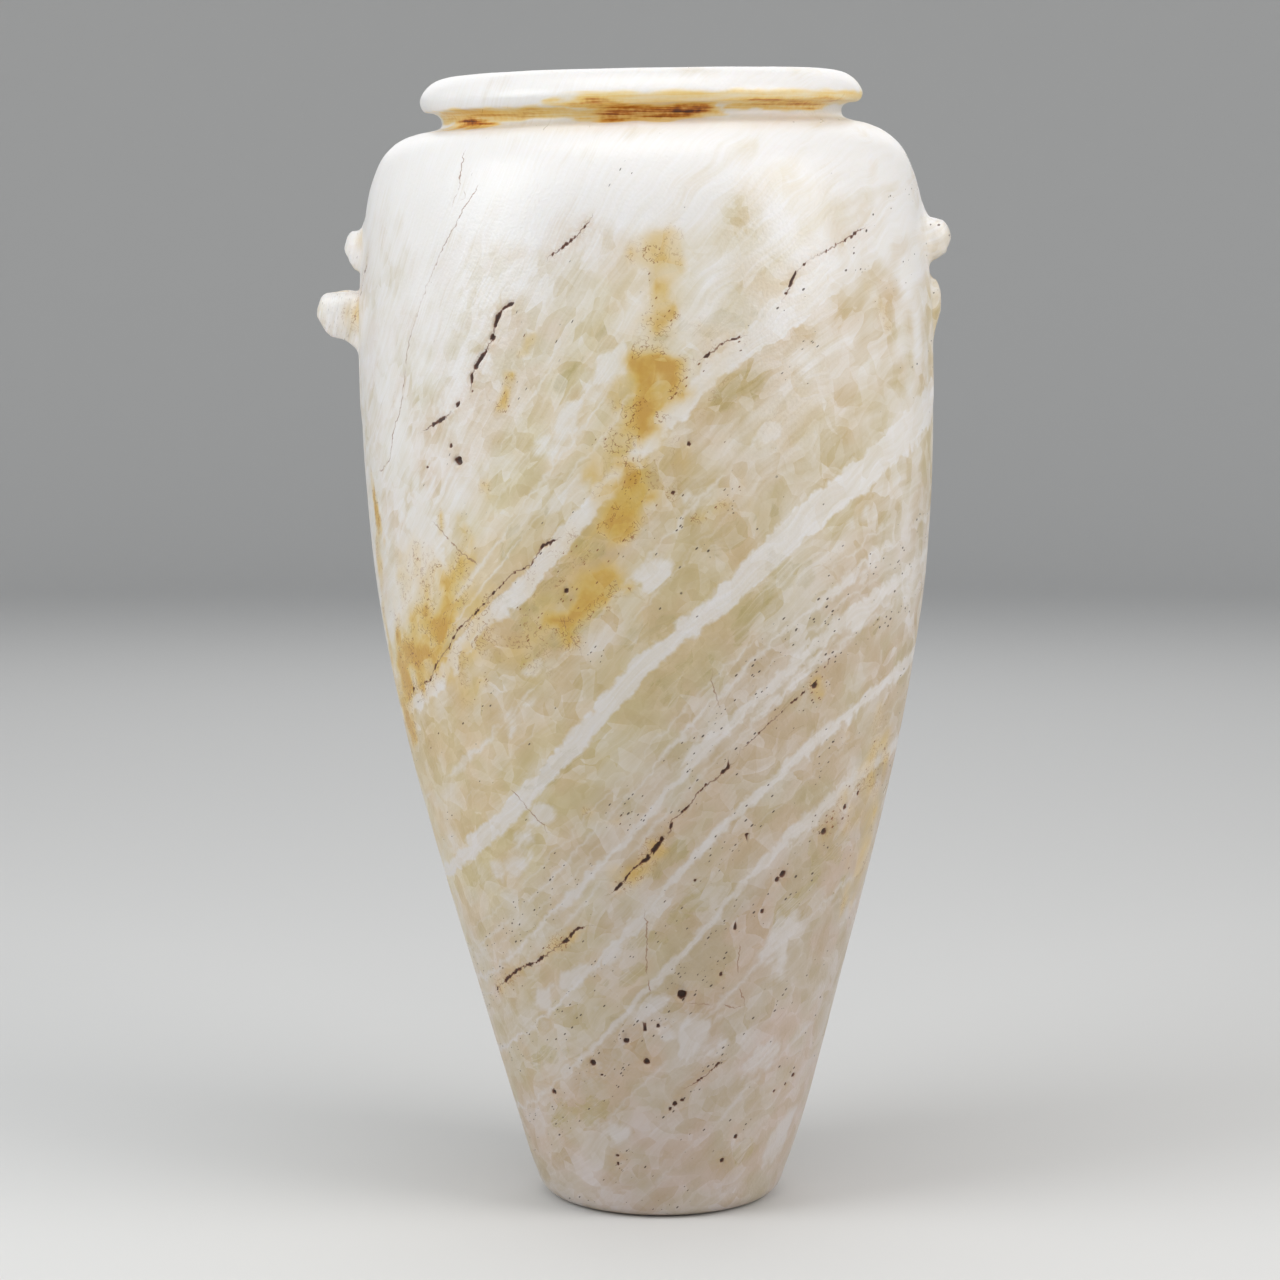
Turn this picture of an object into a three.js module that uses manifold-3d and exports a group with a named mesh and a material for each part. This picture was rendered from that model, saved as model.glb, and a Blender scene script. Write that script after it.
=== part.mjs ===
// A tall storage jar carved from one block of banded calcite. A cord groove runs under its heavy lip, and
// two upright lugs, once pierced for a cord, stand on the shoulders. Both lugs are broken through at the hole,
// so each is left as an upper and a lower stub with half of the hole between them.
// Millimetres, +Z up. The origin is the middle of the foot's underside, and the right-hand lug is near +X.
import * as THREE from "three";
import { mergeVertices } from "three/addons/utils/BufferGeometryUtils.js";
import Module from "manifold-3d";

const wasm = await Module();
wasm.setup();

const jarHeight = 450;
const jarSides = 60; // flats round the jar
const lean = THREE.MathUtils.degToRad(1.2); // the axis leans this much towards -X
const footLevelHeight = 40; // by this height the sections are square to the leaning axis
const footOffset = 1.2; // the axis would meet the ground this far to the +X side of the foot's middle
const grooveSway = 1.1; // the hand-cut groove runs this much lower on the -X side than the mean
const grooveSwayReach = 4.5;

const foot = { radius: 40.5, edge: 9.5, edgeEnd: -20, edgeSteps: 4 };
const belly = { radius: 113.2, height: 325 };
const neck = { radius: 78.7, height: 432.8 };
const lip = { radius: 87.1, height: 440.2, flatFrom: 66.5, flatTo: 71.5, edge: 2.2 };
const mouthRadius = lip.flatFrom - lip.edge;
const wall = 12.5;
const floorThickness = 22;

const lugTurn = THREE.MathUtils.degToRad(-4); // the line through both lugs is turned this much from the X axis
const lugThickness = 16;
const lugRounding = 4.5; // how far in from each face the edges are rounded
const lugEdgeFall = 2; // how far the rounded edges fall back from the outline
const lugRoot = belly.radius - 8; // how deep the lugs are carried into the wall
// The cord hole is centred this far outward from the belly's radius. Only the arc next to the wall is left.
const lugHole = { radius: 4.9, height: 371, outward: 4, from: 112, to: 235 };

// Radius and height of the outside from the foot's rounded edge to the bottom of the groove.
const outsideStations = [
  [54.2, 20],
  [62.9, 50],
  [76.4, 100],
  [89.8, 150],
  [101.2, 200],
  [109.3, 250],
  [belly.radius - 0.5, 297],
  [belly.radius, belly.height],
  [belly.radius - 0.7, 362],
  [belly.radius - 4.1, 400],
  [106.1, 411],
  [101.8, 419.6],
  [95.6, 425.2],
  [88.4, 428.2],
  [82.2, 429.6],
  [neck.radius + 0.5, 430.9],
  [neck.radius, neck.height],
];

// Radius and height of the lip, from just above the groove's bottom to the flat on top.
const lipStations = [
  [neck.radius + 0.7, neck.height + 2],
  [neck.radius + 3.4, neck.height + 3.5],
  [lip.radius - 1.5, lip.height - 3.3],
  [lip.radius, lip.height],
  [lip.radius - 1.7, lip.height + 4],
  [lip.radius - 5.7, lip.height + 7.5],
  [lip.radius - 10.6, jarHeight - 0.6],
  [lip.flatTo, jarHeight],
];

// Radius and height of the hollow, from the mouth's edge down to the middle of the floor.
const insideStations = [
  [mouthRadius, jarHeight - lip.edge],
  [mouthRadius - 0.5, neck.height],
  [mouthRadius + 1.2, 423],
  [73, 416],
  [84.5, 410],
  [93.5, 399],
  [98.6, 378],
  [belly.radius - wall, 340],
  [belly.radius - wall - 0.6, 295],
  [96.4, 250],
  [88.2, 202],
  [76.6, 154],
  [62.8, 104],
  [50.2, 64],
  [39, 40],
  [24, 27],
  [9, floorThickness + 0.6],
  [0, floorThickness],
];

// Each broken lug seen from its side: distance out from the belly's radius, and height. The upper stub runs
// down to the cord hole, and the lower one runs down from it.
const leftLug = {
  upperStub: [[-3.5, 397], [-0.5, 390.9], [3, 390], [5.6, 384.5], [3.6, 377.2]],
  lowerStub: [[1.9, 366.3], [8, 366.7], [15.4, 365], [17.7, 358.5], [13.6, 350], [3, 346.3], [0.3, 341]],
};
const rightLug = {
  upperStub: [[-3.5, 398], [-0.3, 391.4], [4.6, 390.2], [7.5, 384.5], [5.2, 376.2]],
  lowerStub: [[1.8, 366.6], [3.4, 362.5], [3.3, 355], [1.6, 349], [0.4, 343]],
};

// A smooth curve through a list of stations, as points, with a number of steps between each two.
function smooth(stations, steps) {
  const curve = new THREE.CatmullRomCurve3(stations.map(([r, z]) => new THREE.Vector3(r, z, 0)), false, "centripetal");
  return curve.getPoints(steps * (stations.length - 1)).map((p) => new THREE.Vector2(p.x, p.y));
}

// Points on part of a circle, between two angles in degrees.
function arc(x, y, radius, from, to, steps) {
  const angles = [THREE.MathUtils.degToRad(from), THREE.MathUtils.degToRad(to)];
  const curve = new THREE.EllipseCurve(x, y, radius, radius, ...angles, to < from);
  return curve.getPoints(steps);
}

// The closed outline of the wall: up the outside, over the lip, and down the inside to the axis.
function wallOutline() {
  const footEdge = arc(foot.radius, foot.edge, foot.edge, -90, foot.edgeEnd, foot.edgeSteps);
  const edgeTop = footEdge.at(-1);
  const outside = smooth([[edgeTop.x, edgeTop.y], ...outsideStations, ...lipStations], 2);
  const mouthEdge = arc(lip.flatFrom, jarHeight - lip.edge, lip.edge, 90, 180, 3);
  const inside = smooth(insideStations, 1);
  return [new THREE.Vector2(0, 0), ...footEdge, ...outside.slice(1), ...mouthEdge, ...inside.slice(1)];
}

// The jar as turned about an upright axis, closed at the foot and at the floor of the hollow.
function turnedBody() {
  const geometry = new THREE.LatheGeometry(wallOutline(), jarSides);
  geometry.rotateX(Math.PI / 2);
  return geometry;
}

// One broken lug as a slab with rounded edges, standing on the side that direction points to.
function lug({ upperStub, lowerStub }, direction) {
  const hole = arc(lugHole.outward, lugHole.height, lugHole.radius, lugHole.from, lugHole.to, 5);
  const points = [...smooth(upperStub, 2), ...hole, ...smooth(lowerStub, 2)];
  const root = lugRoot - belly.radius;
  points.unshift(new THREE.Vector2(root, points[0].y));
  points.push(new THREE.Vector2(root, points.at(-1).y));
  const geometry = new THREE.ExtrudeGeometry(new THREE.Shape(points), {
    depth: lugThickness - 2 * lugRounding,
    bevelThickness: lugRounding,
    bevelSize: lugEdgeFall,
    bevelOffset: -lugEdgeFall,
    bevelSegments: 2,
  });
  geometry.rotateX(Math.PI / 2);
  geometry.translate(belly.radius, lugThickness / 2 - lugRounding, 0);
  geometry.rotateZ(direction);
  return geometry;
}

// A closed geometry as a solid.
function solidOf(geometry) {
  const bare = new THREE.BufferGeometry().setAttribute("position", geometry.getAttribute("position"));
  bare.setIndex(geometry.index);
  const merged = mergeVertices(bare, 1e-3);
  const mesh = new wasm.Mesh({
    numProp: 3,
    vertProperties: merged.attributes.position.array,
    triVerts: new Uint32Array(merged.index.array),
  });
  return new wasm.Manifold(mesh);
}

// Stands a point of the upright jar where the real one has it: leaning, on a foot that is ground level.
function leaned(point) {
  const aboveFoot = THREE.MathUtils.smoothstep(point.z, 0, footLevelHeight);
  const fromGroove = (point.z - neck.height) / grooveSwayReach;
  const sway = grooveSway * Math.exp(-fromGroove * fromGroove) * (point.x / lip.radius);
  const x = point.x + footOffset * aboveFoot - point.z * Math.tan(lean);
  const z = point.z + point.x * Math.tan(lean) * aboveFoot + sway;
  return new THREE.Vector3(x, point.y, z);
}

function jarGeometry() {
  const body = solidOf(turnedBody());
  const lugs = solidOf(lug(rightLug, lugTurn)).add(solidOf(lug(leftLug, lugTurn + Math.PI)));
  const { vertProperties, triVerts } = body.add(lugs).getMesh();
  const positions = new THREE.BufferAttribute(vertProperties, 3);
  for (let i = 0; i < positions.count; i++) {
    positions.setXYZ(i, ...leaned(new THREE.Vector3().fromBufferAttribute(positions, i)));
  }
  const geometry = new THREE.BufferGeometry().setAttribute("position", positions);
  geometry.setIndex(new THREE.BufferAttribute(triVerts, 1));
  geometry.computeVertexNormals();
  return geometry;
}

const calcite = new THREE.MeshStandardMaterial({ color: 0xe4dac6, roughness: 0.38, metalness: 0 });

const jar = new THREE.Mesh(jarGeometry(), calcite);
jar.name = "jar";

const part = new THREE.Group();
part.add(jar);

export default part;
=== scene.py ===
# A lug-handled jar of banded calcite on a pale studio floor. The jar's sizes are millimetres, with its axis
# upright, and everything in the scene is metres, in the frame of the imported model.
import math
from types import SimpleNamespace

import bmesh
import bpy
import numpy as np
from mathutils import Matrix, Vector, noise


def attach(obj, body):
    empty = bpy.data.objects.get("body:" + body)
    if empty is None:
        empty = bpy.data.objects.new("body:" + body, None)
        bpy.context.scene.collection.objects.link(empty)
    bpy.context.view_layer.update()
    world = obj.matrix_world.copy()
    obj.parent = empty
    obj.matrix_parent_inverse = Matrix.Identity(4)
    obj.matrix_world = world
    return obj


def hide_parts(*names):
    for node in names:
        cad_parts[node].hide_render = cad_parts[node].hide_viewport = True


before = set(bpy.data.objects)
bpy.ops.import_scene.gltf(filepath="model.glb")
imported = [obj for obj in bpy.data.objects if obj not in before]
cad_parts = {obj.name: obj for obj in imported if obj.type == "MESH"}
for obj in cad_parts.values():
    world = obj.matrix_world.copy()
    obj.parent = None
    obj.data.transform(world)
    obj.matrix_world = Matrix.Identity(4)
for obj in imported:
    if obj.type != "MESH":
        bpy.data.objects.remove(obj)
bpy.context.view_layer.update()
mm = 0.001

view = {
    "place": (-8.5, -1476, 408),
    "pitchDown": 7.062,  # degrees below level
    "lens": 104.31,
    "sensor": 36,
}


def added(name, data):
    made = bpy.data.objects.new(name, data)
    bpy.context.scene.collection.objects.link(made)
    return made


def makeCamera():
    camera = added("camera", bpy.data.cameras.new("camera"))
    camera.data.lens = view["lens"]
    camera.data.sensor_width = view["sensor"]
    camera.location = Vector(view["place"]) * mm
    camera.rotation_euler = (math.radians(90 - view["pitchDown"]), 0, 0)
    bpy.context.scene.camera = camera


makeCamera()
print("camera in place")


# The shape of the jar, as the solid has it. Stations are radius and height.

jar = {
    "height": 450,
    "columns": 284,  # round the jar, closest together on the lugs
    "lean": 1.2,  # degrees, towards -X
    "levelBy": 40,  # below this height the sections turn level with the ground
    "footOffset": 1.2,
    "sway": 1.1,  # the groove runs this much lower on the -X side
    "swayReach": 4.5,
    "foot": {"radius": 40.5, "edge": 9.5, "edgeEnd": -20, "rings": (0, 0.2, 0.4, 0.6, 0.8, 0.94)},
    "belly": 113.2,
    "neckHeight": 432.8,
    "belowNeck": 3.2,  # the groove starts this far below its narrowest place
    "lip": {"radius": 87.1, "flatFrom": 66.5, "flatTo": 71.5, "edge": 2.2},
    "rows": {"body": 80, "shoulder": 22, "lip": 40, "inside": 44, "footEdge": 8, "mouth": 5},
    "steps": {"outside": 24, "inside": 12},  # points of the curve from one station to the next
    "floorBelow": 42,  # the hollow's floor and the wall up to this height have a map of their own
}

outsideStations = [
    (54.2, 20), (62.9, 50), (76.4, 100), (89.8, 150), (101.2, 200), (109.3, 250), (112.7, 297), (113.2, 325),
    (112.5, 362), (109.1, 400), (106.1, 411), (101.8, 419.6), (95.6, 425.2), (88.4, 428.2), (82.2, 429.6),
    (79.2, 430.9), (78.7, 432.8), (79.4, 434.8), (82.1, 436.3), (85.6, 436.9), (87.1, 440.2), (85.4, 444.2),
    (81.4, 447.7), (76.5, 449.4), (71.5, 450),
]
insideStations = [
    (64.3, 447.8), (63.8, 432.8), (65.5, 423), (73, 416), (84.5, 410), (93.5, 399), (98.6, 378), (100.7, 340),
    (100.1, 295), (96.4, 250), (88.2, 202), (76.6, 154), (62.8, 104), (50.2, 64), (39, 40), (24, 27),
    (9, 22.6), (0, 22),
]

lugs = {
    "turn": -4,  # degrees, from the X axis to the line through both lugs
    "halfWidth": 10.2,  # where the rounded sides have run out on the wall
    "squareness": 5,
    "hole": {"radius": 4.9, "height": 371, "outward": 4, "from": 235, "to": 112, "steps": 48},
    "zone": (334, 366.4, 376.8, 404),  # heights behind the lower stub, the notch and the upper stub
    "rows": (42, 12, 22),
    "steps": 12,
    "crowding": 3.4,
    "crowdingReach": 5.6,  # degrees either way
    "left": {  # the stubs, each as distance out from the belly's radius and height, upwards
        "lower": [(0.3, 341), (3, 346.3), (13.6, 350), (17.7, 358.5), (15.4, 365), (8, 366.7), (1.9, 366.3)],
        "upper": [(3.6, 377.2), (5.6, 384.5), (3, 390), (-0.5, 390.9), (-3.5, 397)],
    },
    "right": {
        "lower": [(0.4, 343), (1.6, 349), (3.3, 355), (3.4, 362.5), (1.8, 366.6)],
        "upper": [(5.2, 376.2), (7.5, 384.5), (4.6, 390.2), (-0.3, 391.4), (-3.5, 398)],
    },
    "pad": {"halfWidth": 15, "edge": 2.5, "proud": 0.8, "from": 318, "to": 392, "fade": 6},
}


def smooth(stations, steps):
    # A centripetal Catmull-Rom curve through the stations, as the solid's profile is
    knots = [np.array(p, float) for p in stations]
    knots = [2 * knots[0] - knots[1], *knots, 2 * knots[-1] - knots[-2]]
    points = []
    for a, b, c, d in zip(knots, knots[1:], knots[2:], knots[3:]):
        before, here, after = (math.sqrt(np.linalg.norm(q - p)) for p, q in ((a, b), (b, c), (c, d)))
        leave = ((b - a) / before - (c - a) / (before + here) + (c - b) / here) * here
        arrive = ((c - b) / here - (d - b) / (here + after) + (d - c) / after) * here
        for k in range(steps):
            t = k / steps
            square, cube = 3 * (c - b) - 2 * leave - arrive, 2 * (b - c) + leave + arrive
            points.append(b + leave * t + square * t**2 + cube * t**3)
    points.append(knots[-2])
    return np.array(points)


def arc(centre, radius, start, end, steps):
    angles = np.radians(np.linspace(start, end, steps + 1))
    return np.stack([centre[0] + radius * np.cos(angles), centre[1] + radius * np.sin(angles)], 1)


def spaced(points, count):
    # The same line with its points at even distances
    length = np.concatenate([[0], np.cumsum(np.linalg.norm(np.diff(points, axis=0), axis=1))])
    at = np.linspace(0, length[-1], count + 1)
    return np.stack([np.interp(at, length, points[:, k]) for k in (0, 1)], 1)


def between(points, low, high, count):
    # The stretch of a rising line between two heights
    inner = points[(points[:, 1] > low) & (points[:, 1] < high), 1]
    heights = np.array([low, *inner, high])
    return spaced(np.stack([np.interp(heights, points[:, 1], points[:, 0]), heights], 1), count)


def wallParts():
    # Rows of the wall from the middle of the underside, up the outside, over the lip and down into the hollow
    foot, lip, zone = jar["foot"], jar["lip"], lugs["zone"]
    rows, steps, lugRows = jar["rows"], jar["steps"], lugs["rows"]
    footEdge = arc((foot["radius"], foot["edge"]), foot["edge"], -90, foot["edgeEnd"], rows["footEdge"])
    outside = smooth([footEdge[-1], *outsideStations], steps["outside"])
    grooveStart = int(np.argmax(outside[:, 1] > jar["neckHeight"] - jar["belowNeck"]))
    rising, overLip = outside[:grooveStart + 1], outside[grooveStart:]
    under = foot["radius"] * np.array(foot["rings"])
    return {
        "underside": np.stack([under, np.zeros_like(under)], 1),
        "footEdge": footEdge,
        "body": between(rising, footEdge[-1][1], zone[0], rows["body"])[1:],
        "lower": between(rising, zone[0], zone[1], lugRows[0])[1:],
        "notch": between(rising, zone[1], zone[2], lugRows[1])[1:],
        "upper": between(rising, zone[2], zone[3], lugRows[2])[1:],
        "shoulder": between(rising, zone[3], rising[-1][1], rows["shoulder"])[1:],
        "lip": spaced(overLip, rows["lip"])[1:],
        "mouth": arc((lip["flatFrom"], jar["height"] - lip["edge"]), lip["edge"], 90, 180, rows["mouth"]),
        "inside": spaced(smooth(insideStations, steps["inside"]), rows["inside"])[1:],
    }


def columnAngles():
    # Angles round the axis from +X, closer together where the lugs are
    fine = np.radians(np.linspace(0, 360, 14401))
    crowd = np.ones_like(fine)
    for turn in (lugs["turn"], lugs["turn"] + 180):
        off = np.degrees(np.angle(np.exp(1j * (fine - math.radians(turn)))))
        crowd += lugs["crowding"] / (1 + (off / lugs["crowdingReach"]) ** 4)
    count = np.concatenate([[0], np.cumsum((crowd[1:] + crowd[:-1]) / 2)])
    return np.interp(np.arange(jar["columns"]) / jar["columns"] * count[-1], count, fine)


parts = wallParts()
wall = np.concatenate(list(parts.values()))
angles = columnAngles()
firstRow = {name: sum(len(rows) for rows in list(parts.values())[:k]) for k, name in enumerate(parts)}
outsideWall = wall[firstRow["footEdge"]:firstRow["lip"]]


def wallRadius(height):
    return np.interp(height, outsideWall[:, 1], outsideWall[:, 0])


def smoothStep(value, low, high):
    t = np.clip((value - low) / (high - low), 0, 1)
    return t * t * (3 - 2 * t)


def faded(value, edge, before, after):
    return smoothStep(value, edge - before, edge + after)


def lugPushes():
    # How far out and up each row of the wall goes where a lug stands on it
    start, count = firstRow["lower"] - 1, sum(lugs["rows"]) + 1
    behind = wall[start:start + count] - [jar["belly"], 0]
    hole, steps = lugs["hole"], lugs["steps"]
    notch = arc((hole["outward"], hole["height"]), hole["radius"], hole["from"], hole["to"], hole["steps"])
    pushes = {}
    for side in ("left", "right"):
        lower = np.concatenate([behind[:1], smooth(lugs[side]["lower"], steps)])
        upper = np.concatenate([smooth(lugs[side]["upper"], steps), behind[-1:]])
        stretches = [spaced(line, rows)[1:] for line, rows in zip((lower, notch, upper), lugs["rows"])]
        pushes[side] = np.zeros_like(wall)
        pushes[side][start + 1:start + count] = np.concatenate(stretches) - behind[1:]
    return pushes


def uprightGrid():
    # The points of every row and column, with the jar standing upright
    up = np.array([0, 0, 1.0])
    outward = np.stack([np.cos(angles), np.sin(angles), np.zeros_like(angles)], 1)
    grid = wall[:, None, :1] * outward + wall[:, None, 1:] * up
    pushes, pad = lugPushes(), lugs["pad"]
    for side, turn in (("right", lugs["turn"]), ("left", lugs["turn"] + 180)):
        off = angles - math.radians(turn)
        across = wall[:, None, 0] * np.sin(off)
        stands = np.clip(1 - np.abs(across / lugs["halfWidth"]) ** lugs["squareness"], 0, 1) ** 2
        stands = stands * (np.cos(off) > 0)
        direction = np.array([math.cos(math.radians(turn)), math.sin(math.radians(turn)), 0])
        grid += stands[..., None] * (pushes[side][:, None, :1] * direction + pushes[side][:, None, 1:] * up)
        strip = 1 - faded(np.abs(across), pad["halfWidth"], pad["edge"], pad["edge"])
        low = faded(wall[:, 1], pad["from"], pad["fade"], pad["fade"])
        strip = strip * (low * (1 - faded(wall[:, 1], pad["to"], pad["fade"], pad["fade"])))[:, None]
        onOutside = (np.arange(len(wall)) < firstRow["lip"])[:, None] * (np.cos(off) > 0)
        grid += (strip * onOutside * (1 - stands) * pad["proud"])[..., None] * outward
    return grid


print("wall has", len(wall), "rows and", len(angles), "columns")


# Flaws and stains of the stone. A place is degrees round from the front, towards the right-hand lug, and
# millimetres up the axis. Waves of unevenness are given as height, length and part of the noise they use.

pits = [  # degrees, height, radius and depth
    (-39.3, 305.2, 2.2, 1.9), (-41, 310.8, 1, 0.8), (-48, 302, 0.8, 0.6), (-16.8, 257.3, 1.2, 1),
    (6.5, 96.5, 2.3, 2.1), (-0.8, 83.8, 0.9, 0.8), (-4.9, 82.1, 1, 0.9), (-10.9, 77.4, 1.5, 1.3),
    (-23.2, 67.3, 1.4, 1.1), (-4.7, 68.6, 1.6, 1.2), (-42.1, 52.3, 1.3, 1), (-20.5, 62.4, 0.8, 0.6),
    (17.8, 104.1, 0.9, 0.7), (45, 157.2, 1.7, 1.3), (51.6, 165.7, 1.4, 1.1), (56.3, 170.1, 1.1, 0.8),
    (33.3, 142.7, 1.6, 1.2), (31.7, 140.6, 1.3, 1), (9.3, 143.2, 0.8, 0.7), (21.9, 160.3, 1, 0.8),
    (28.4, 128.5, 0.9, 0.7), (20.9, 122.7, 0.9, 0.7), (7, 52, 1, 0.8), (4.6, 50.5, 1.1, 0.9),
    (2.8, 48.4, 0.9, 0.8), (29.6, 33.6, 1.1, 0.8), (25.1, 24.3, 1.1, 0.8), (54.4, 54.8, 1.3, 1),
    (50.4, 52, 0.9, 0.7), (44.8, 50.3, 0.9, 0.7), (-18.3, 27.7, 0.9, 0.7), (-18.3, 24.2, 0.8, 0.6),
    (7.5, 311.4, 1, 0.7), (4.4, 293.6, 0.9, 0.6), (35.8, 217, 1.4, 1),
]
seams = [  # width, depth, share left open, and places along it
    (0.9, 0.7, 0.75, [(-10.8, 393), (-12.7, 389), (-14.7, 385.8), (-17.7, 381.7)]),
    (1.3, 1.0, 0.8, [(-25.9, 363.9), (-27.8, 362.4), (-29.4, 358.5), (-30.4, 351), (-33, 344.2), (-35.2, 338),
                     (-35.5, 331.6)]),
    (1.3, 0.9, 0.7, [(-38.9, 326.6), (-42.1, 321.2), (-44.9, 319.2), (-47.6, 316.7)]),
    (0.8, 0.5, 0.5, [(47.3, 388), (39.9, 382.4), (33.2, 377.6), (30, 373.4), (27.6, 365.4)]),
    (0.8, 0.5, 0.5, [(17.6, 349.9), (14.8, 348.6), (10.9, 343.3)]),
    (0.62, 0.5, 0.4, [(-18.5, 276.5), (-21, 274.3), (-23.8, 266.9), (-27.9, 263.3), (-33.1, 254.9),
                     (-37, 248.4), (-43.4, 239.9), (-46.5, 233), (-51.6, 225.8), (-55, 218.9),
                     (-65.4, 212.9)]),
    (1.2, 0.9, 0.7, [(16.1, 187.7), (14, 184), (11.5, 181.9), (9.1, 177.7), (6.8, 172), (3.8, 168.2),
                    (2.9, 163)]),
    (1.4, 1.1, 0.85, [(1.2, 160.3), (-2.4, 152.7), (-5.7, 149.1), (-8.1, 144.3), (-11, 139.8)]),
    (1.1, 0.8, 0.75, [(-20.2, 124.5), (-22.9, 123), (-25.1, 119.1), (-31.2, 113.4), (-37.2, 107.9),
                      (-42.7, 105.3), (-50.3, 99.6), (-60.2, 91.9)]),
    (0.9, 0.6, 0.6, [(19.5, 66.6), (15.2, 62), (10.8, 58.6)]),
    (0.8, 0.5, 0.5, [(39, 225), (36, 218.5), (30, 211), (25, 204), (20, 196)]),
]
hiddenFlaws = {  # made up, from the lugs round the back
    "seed": 11,
    "pits": (34, (82, 278), (24, 400), (0.8, 1.5)),  # how many, degrees, heights and radii
    "seams": (13, (88, 272), (50, 400), (0.8, 1.3), (0.55, 0.8), (6, 22)),  # and widths, open shares, steps
    "step": (3, 0.7),  # length of a step along a layer, and how far it strays
    "keep": (16, 424),  # lowest and highest place of a seam
    "deepPit": (171, 236, 2.2, 1.9),
}
cracks = [  # places along each
    [(-40.6, 417.5), (-40.1, 412), (-39.5, 405.7), (-40.2, 403.5)],
    [(-35.4, 404.9), (-38, 398.7), (-39.6, 392.8), (-42.7, 385), (-45.5, 375.7), (-48.3, 366), (-50.5, 358.1),
     (-52.5, 350.1), (-53.8, 342.5), (-54.8, 331.8), (-56.6, 322.1), (-59.3, 316.2), (-61.5, 304.1),
     (-66.6, 298.4)],
    [(11.4, 92.3), (17, 91.4), (21.5, 90.4)],
    [(25.2, 92.4), (23.8, 98.7), (22.6, 106.4), (22.9, 117)],
    [(-36, 266), (-40.5, 271), (-46, 279.5)], [(12, 222), (13.4, 213)],
    [(-17, 243), (-15.5, 236.5)], [(-34, 178), (-28, 166)], [(-3, 128), (-3.6, 108), (-3, 99)],
    [(150, 402), (146, 380), (148, 361), (141, 338), (138, 310), (133, 296)],
    [(-128, 212), (-134, 190), (-131, 166), (-139, 141)],
]
stains = [  # degrees and height at either end, radius, and strength of the iron that soaked in
    (2.4, 386, 1.8, 364, 9.5, 0.6), (2.5, 361, 1.5, 346, 7, 0.7), (0.8, 340, -1.4, 320, 9, 1.05),
    (3.5, 333, 4.5, 328, 6, 0.8), (-3, 318, -8, 304, 10, 0.55), (-4.2, 302, -5, 280, 10.5, 0.85),
    (-7, 300, -9, 292, 7, 0.6), (3, 320, 0, 296, 14, 0.38), (-7.5, 263, -10.5, 256, 7.5, 0.8),
    (-13, 254, -16.5, 246, 9, 1.05), (-14, 266, -26, 234, 15, 0.42), (-38.9, 268, -43.7, 260, 6, 1.1),
    (-43.7, 260, -46.2, 245, 7, 0.95), (-46.5, 247, -49.5, 238, 7.5, 1.05), (-42, 257, -35, 249, 12, 0.5),
    (-53, 242, -60, 222, 12, 0.9), (-55.6, 228, -71, 224, 11, 1.05), (-66, 222, -74, 202, 12, 1.05),
    (-74.5, 295, -71, 277, 3, 0.95), (-70.5, 276, -67, 268, 2.8, 0.75), (-74, 266, -78, 238, 7, 0.55),
    (-52, 262, -66, 228, 19, 0.45), (-56, 208, -66, 178, 17, 0.24), (-33.5, 297, -31.7, 291, 3.6, 0.6),
    (-39.7, 284, -37.6, 276, 3.6, 0.6), (-44.7, 286, -45.3, 279, 2.4, 0.6),
    (-26.6, 337.5, -28.2, 327, 2.3, 0.95), (-21, 352, -24, 345, 2.5, 0.45), (-31, 314, -26, 310, 3, 0.35),
    (12, 352, 16, 330, 12, 0.28), (22, 318, 10, 300, 12, 0.25), (48, 367, 54, 352, 6, 0.3),
    (64, 187, 70, 178, 7, 0.6), (50, 170, 45, 160, 6, 0.35), (35.8, 218, 37, 215, 4, 0.55),
    (8, 283, 17.5, 291, 4, 0.5), (17, 300, 19, 289, 3, 0.45), (-8.1, 146, -1, 156, 6, 0.6),
    (-22, 122, -34, 111, 3.5, 0.5), (-45, 104, -58, 93, 4, 0.4), (-16, 170, -9, 169, 2.6, 0.6),
    (-38, 222, -44, 214, 6, 0.4), (60, 188, 70, 130, 15, 0.46), (-36, 240, -46, 228, 14, 0.42),
    (128, 330, 122, 296, 11, 0.7), (120, 290, 117, 262, 9, 0.5), (165, 208, 152, 176, 10, 0.55),
    (-140, 268, -152, 240, 11, 0.7), (-133, 282, -138, 268, 6, 0.5), (-112, 120, -118, 92, 8, 0.45),
    (-168, 384, -171, 352, 8, 0.5), (176, 128, 160, 110, 8, 0.4),
]
lugStains = [  # degrees, height, distance out from the wall, radius and strength
    (-94, 371, 1.5, 5.5, 0.9), (-94, 367, 9, 3.6, 0.85), (-91, 358, 3, 6, 0.5), (-94, 378.5, 4, 3.4, 0.6),
    (-89, 384, 0, 5, 0.4), (86, 371, 0.5, 5, 0.8), (84, 386, 0.5, 4.5, 0.6), (84, 350, 1, 5, 0.45),
    (83, 340, 0, 4, 0.4),
]
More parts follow.
